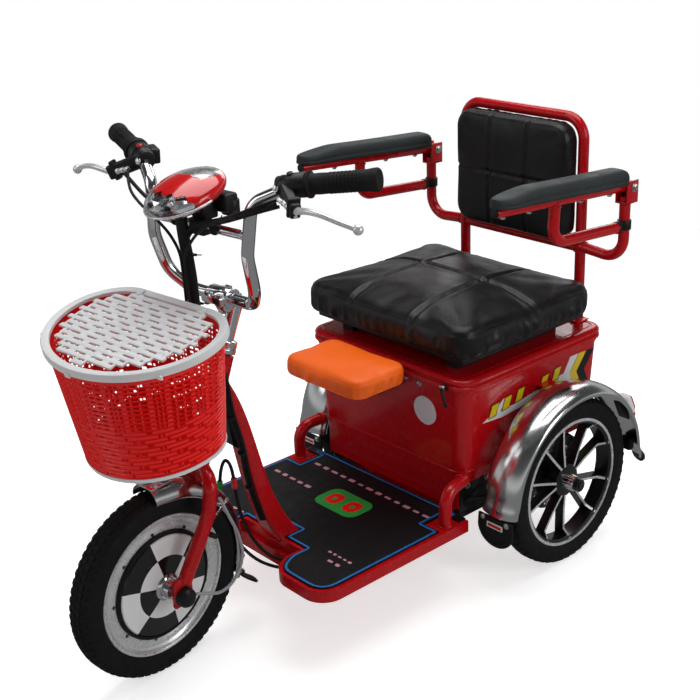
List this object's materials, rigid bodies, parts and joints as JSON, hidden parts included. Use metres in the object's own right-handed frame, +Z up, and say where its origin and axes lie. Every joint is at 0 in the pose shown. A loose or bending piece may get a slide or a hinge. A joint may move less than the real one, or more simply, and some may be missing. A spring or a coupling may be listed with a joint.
{
  "type": "three-wheeled electric mobility scooter",
  "caption": "Electric three-wheeled mobility scooter with swept bars, front basket, foot deck, hinged seat over a trunk, flip-up armrests and chrome mudguards.",
  "frame": {"origin": "on the ground under the middle of the rear axle", "axes": "+Z up, -Y the way it drives, +X to the rider's left"},
  "size_m": [0.704, 1.2137, 0.9274],
  "materials": {
    "red_paint": "gloss red enamel",
    "black_paint": "satin black paint",
    "chrome": "polished chrome plate",
    "dark_steel": "plain turned steel",
    "disc_steel": "ground steel",
    "silver_alloy": "silver painted alloy",
    "machined_alloy": "black alloy with machined edges",
    "deck_mat": "black mat with a blue edge line",
    "rubber": "moulded black rubber",
    "tyre": "black tyre",
    "black_plastic": "moulded black plastic",
    "red_plastic": "moulded red plastic",
    "white_plastic": "moulded white plastic",
    "lamp_red": "red lens",
    "battery_case": "dark plastic case",
    "cable_black": "black sleeve",
    "cable_grey": "grey sleeve",
    "black_leather": "stitched black leatherette",
    "orange_leather": "gathered orange leatherette",
    "armrest_foam": "moulded black foam skin"
  },
  "bodies": {
    "chassis": {"main_tube": "red_paint", "under_frame": "black_paint", "rear_axle": "dark_steel", "platform_deck": "red_paint", "deck_mat": "deck_mat", "deck_hoops": "red_paint", "trunk_box": "red_paint", "battery_block": "battery_case", "trunk_latch": "black_plastic", "child_seat_bracket": "black_paint", "child_seat_cushion": "orange_leather", "rear_fenders": "chrome", "rear_mud_flaps": "rubber", "tail_lights": "lamp_red", "frame_loom": "cable_black", "cable_guide": "black_plastic", "trunk_hinges": "dark_steel"},
    "steering": {"fork": "red_paint", "front_axle": "rubber", "front_fender": "chrome", "front_mud_flap": "rubber", "stem": "chrome", "handlebar": "chrome", "grips": "rubber", "brake_levers": "chrome", "headlight": "red_plastic", "basket_shell": "red_plastic", "basket_rim": "white_plastic", "basket_bracket": "black_paint", "steering_loom": "cable_black", "brake_cables": "cable_black", "hub_wire": "cable_grey"},
    "front_wheel": {"front_tyre": "tyre", "front_rim": "silver_alloy"},
    "rear_wheel_left": {"rear_tyre_left": "tyre", "rear_rim_left": "machined_alloy", "brake_disc_left": "disc_steel"},
    "rear_wheel_right": {"rear_tyre_right": "tyre", "rear_rim_right": "machined_alloy", "brake_disc_right": "disc_steel"},
    "seat_lid": {"trunk_lid": "red_paint", "seat_base": "black_paint", "seat_cushion": "black_leather", "backrest_frame": "red_paint", "backrest_cushion": "black_leather"},
    "armrest_left": {"armrest_frame_left": "red_paint", "armrest_pad_left": "armrest_foam"},
    "armrest_right": {"armrest_frame_right": "red_paint", "armrest_pad_right": "armrest_foam"},
    "basket_top": {"basket_lid": "white_plastic"}
  },
  "joints": [
    {"name": "steering_turn", "type": "hinge", "parent": "chassis", "child": "steering", "pos_m": [0, -0.624, 0.56], "axis": [0, 0.3584, 0.9336], "range_deg": [-46.5, 33.5]},
    {"name": "front_wheel_spin", "type": "hinge", "parent": "steering", "child": "front_wheel", "pos_m": [0.00431, -0.81077, 0.17891], "axis": [0.9936, 0.1057, -0.0406], "continuous": true},
    {"name": "rear_wheel_left_spin", "type": "hinge", "parent": "chassis", "child": "rear_wheel_left", "pos_m": [0.277, 0, 0.176], "axis": [1, 0, 0], "continuous": true},
    {"name": "rear_wheel_right_spin", "type": "hinge", "parent": "chassis", "child": "rear_wheel_right", "pos_m": [-0.277, 0, 0.176], "axis": [1, 0, 0], "continuous": true},
    {"name": "seat_lid_tilt", "type": "hinge", "parent": "chassis", "child": "seat_lid", "pos_m": [0, 0.199, 0.424], "axis": [-1, 0, 0], "range_deg": [0, 75]},
    {"name": "armrest_left_flip", "type": "hinge", "parent": "seat_lid", "child": "armrest_left", "pos_m": [0.267, 0.186, 0.75], "axis": [-1, 0, 0], "range_deg": [0, 90]},
    {"name": "armrest_right_flip", "type": "hinge", "parent": "seat_lid", "child": "armrest_right", "pos_m": [-0.267, 0.186, 0.75], "axis": [-1, 0, 0], "range_deg": [0, 90]},
    {"name": "basket_lid_lift", "type": "hinge", "parent": "steering", "child": "basket_top", "pos_m": [0.01654, -0.73727, 0.68903], "axis": [-0.9944, -0.1058, 0], "range_deg": [0, 75]}
  ]
}
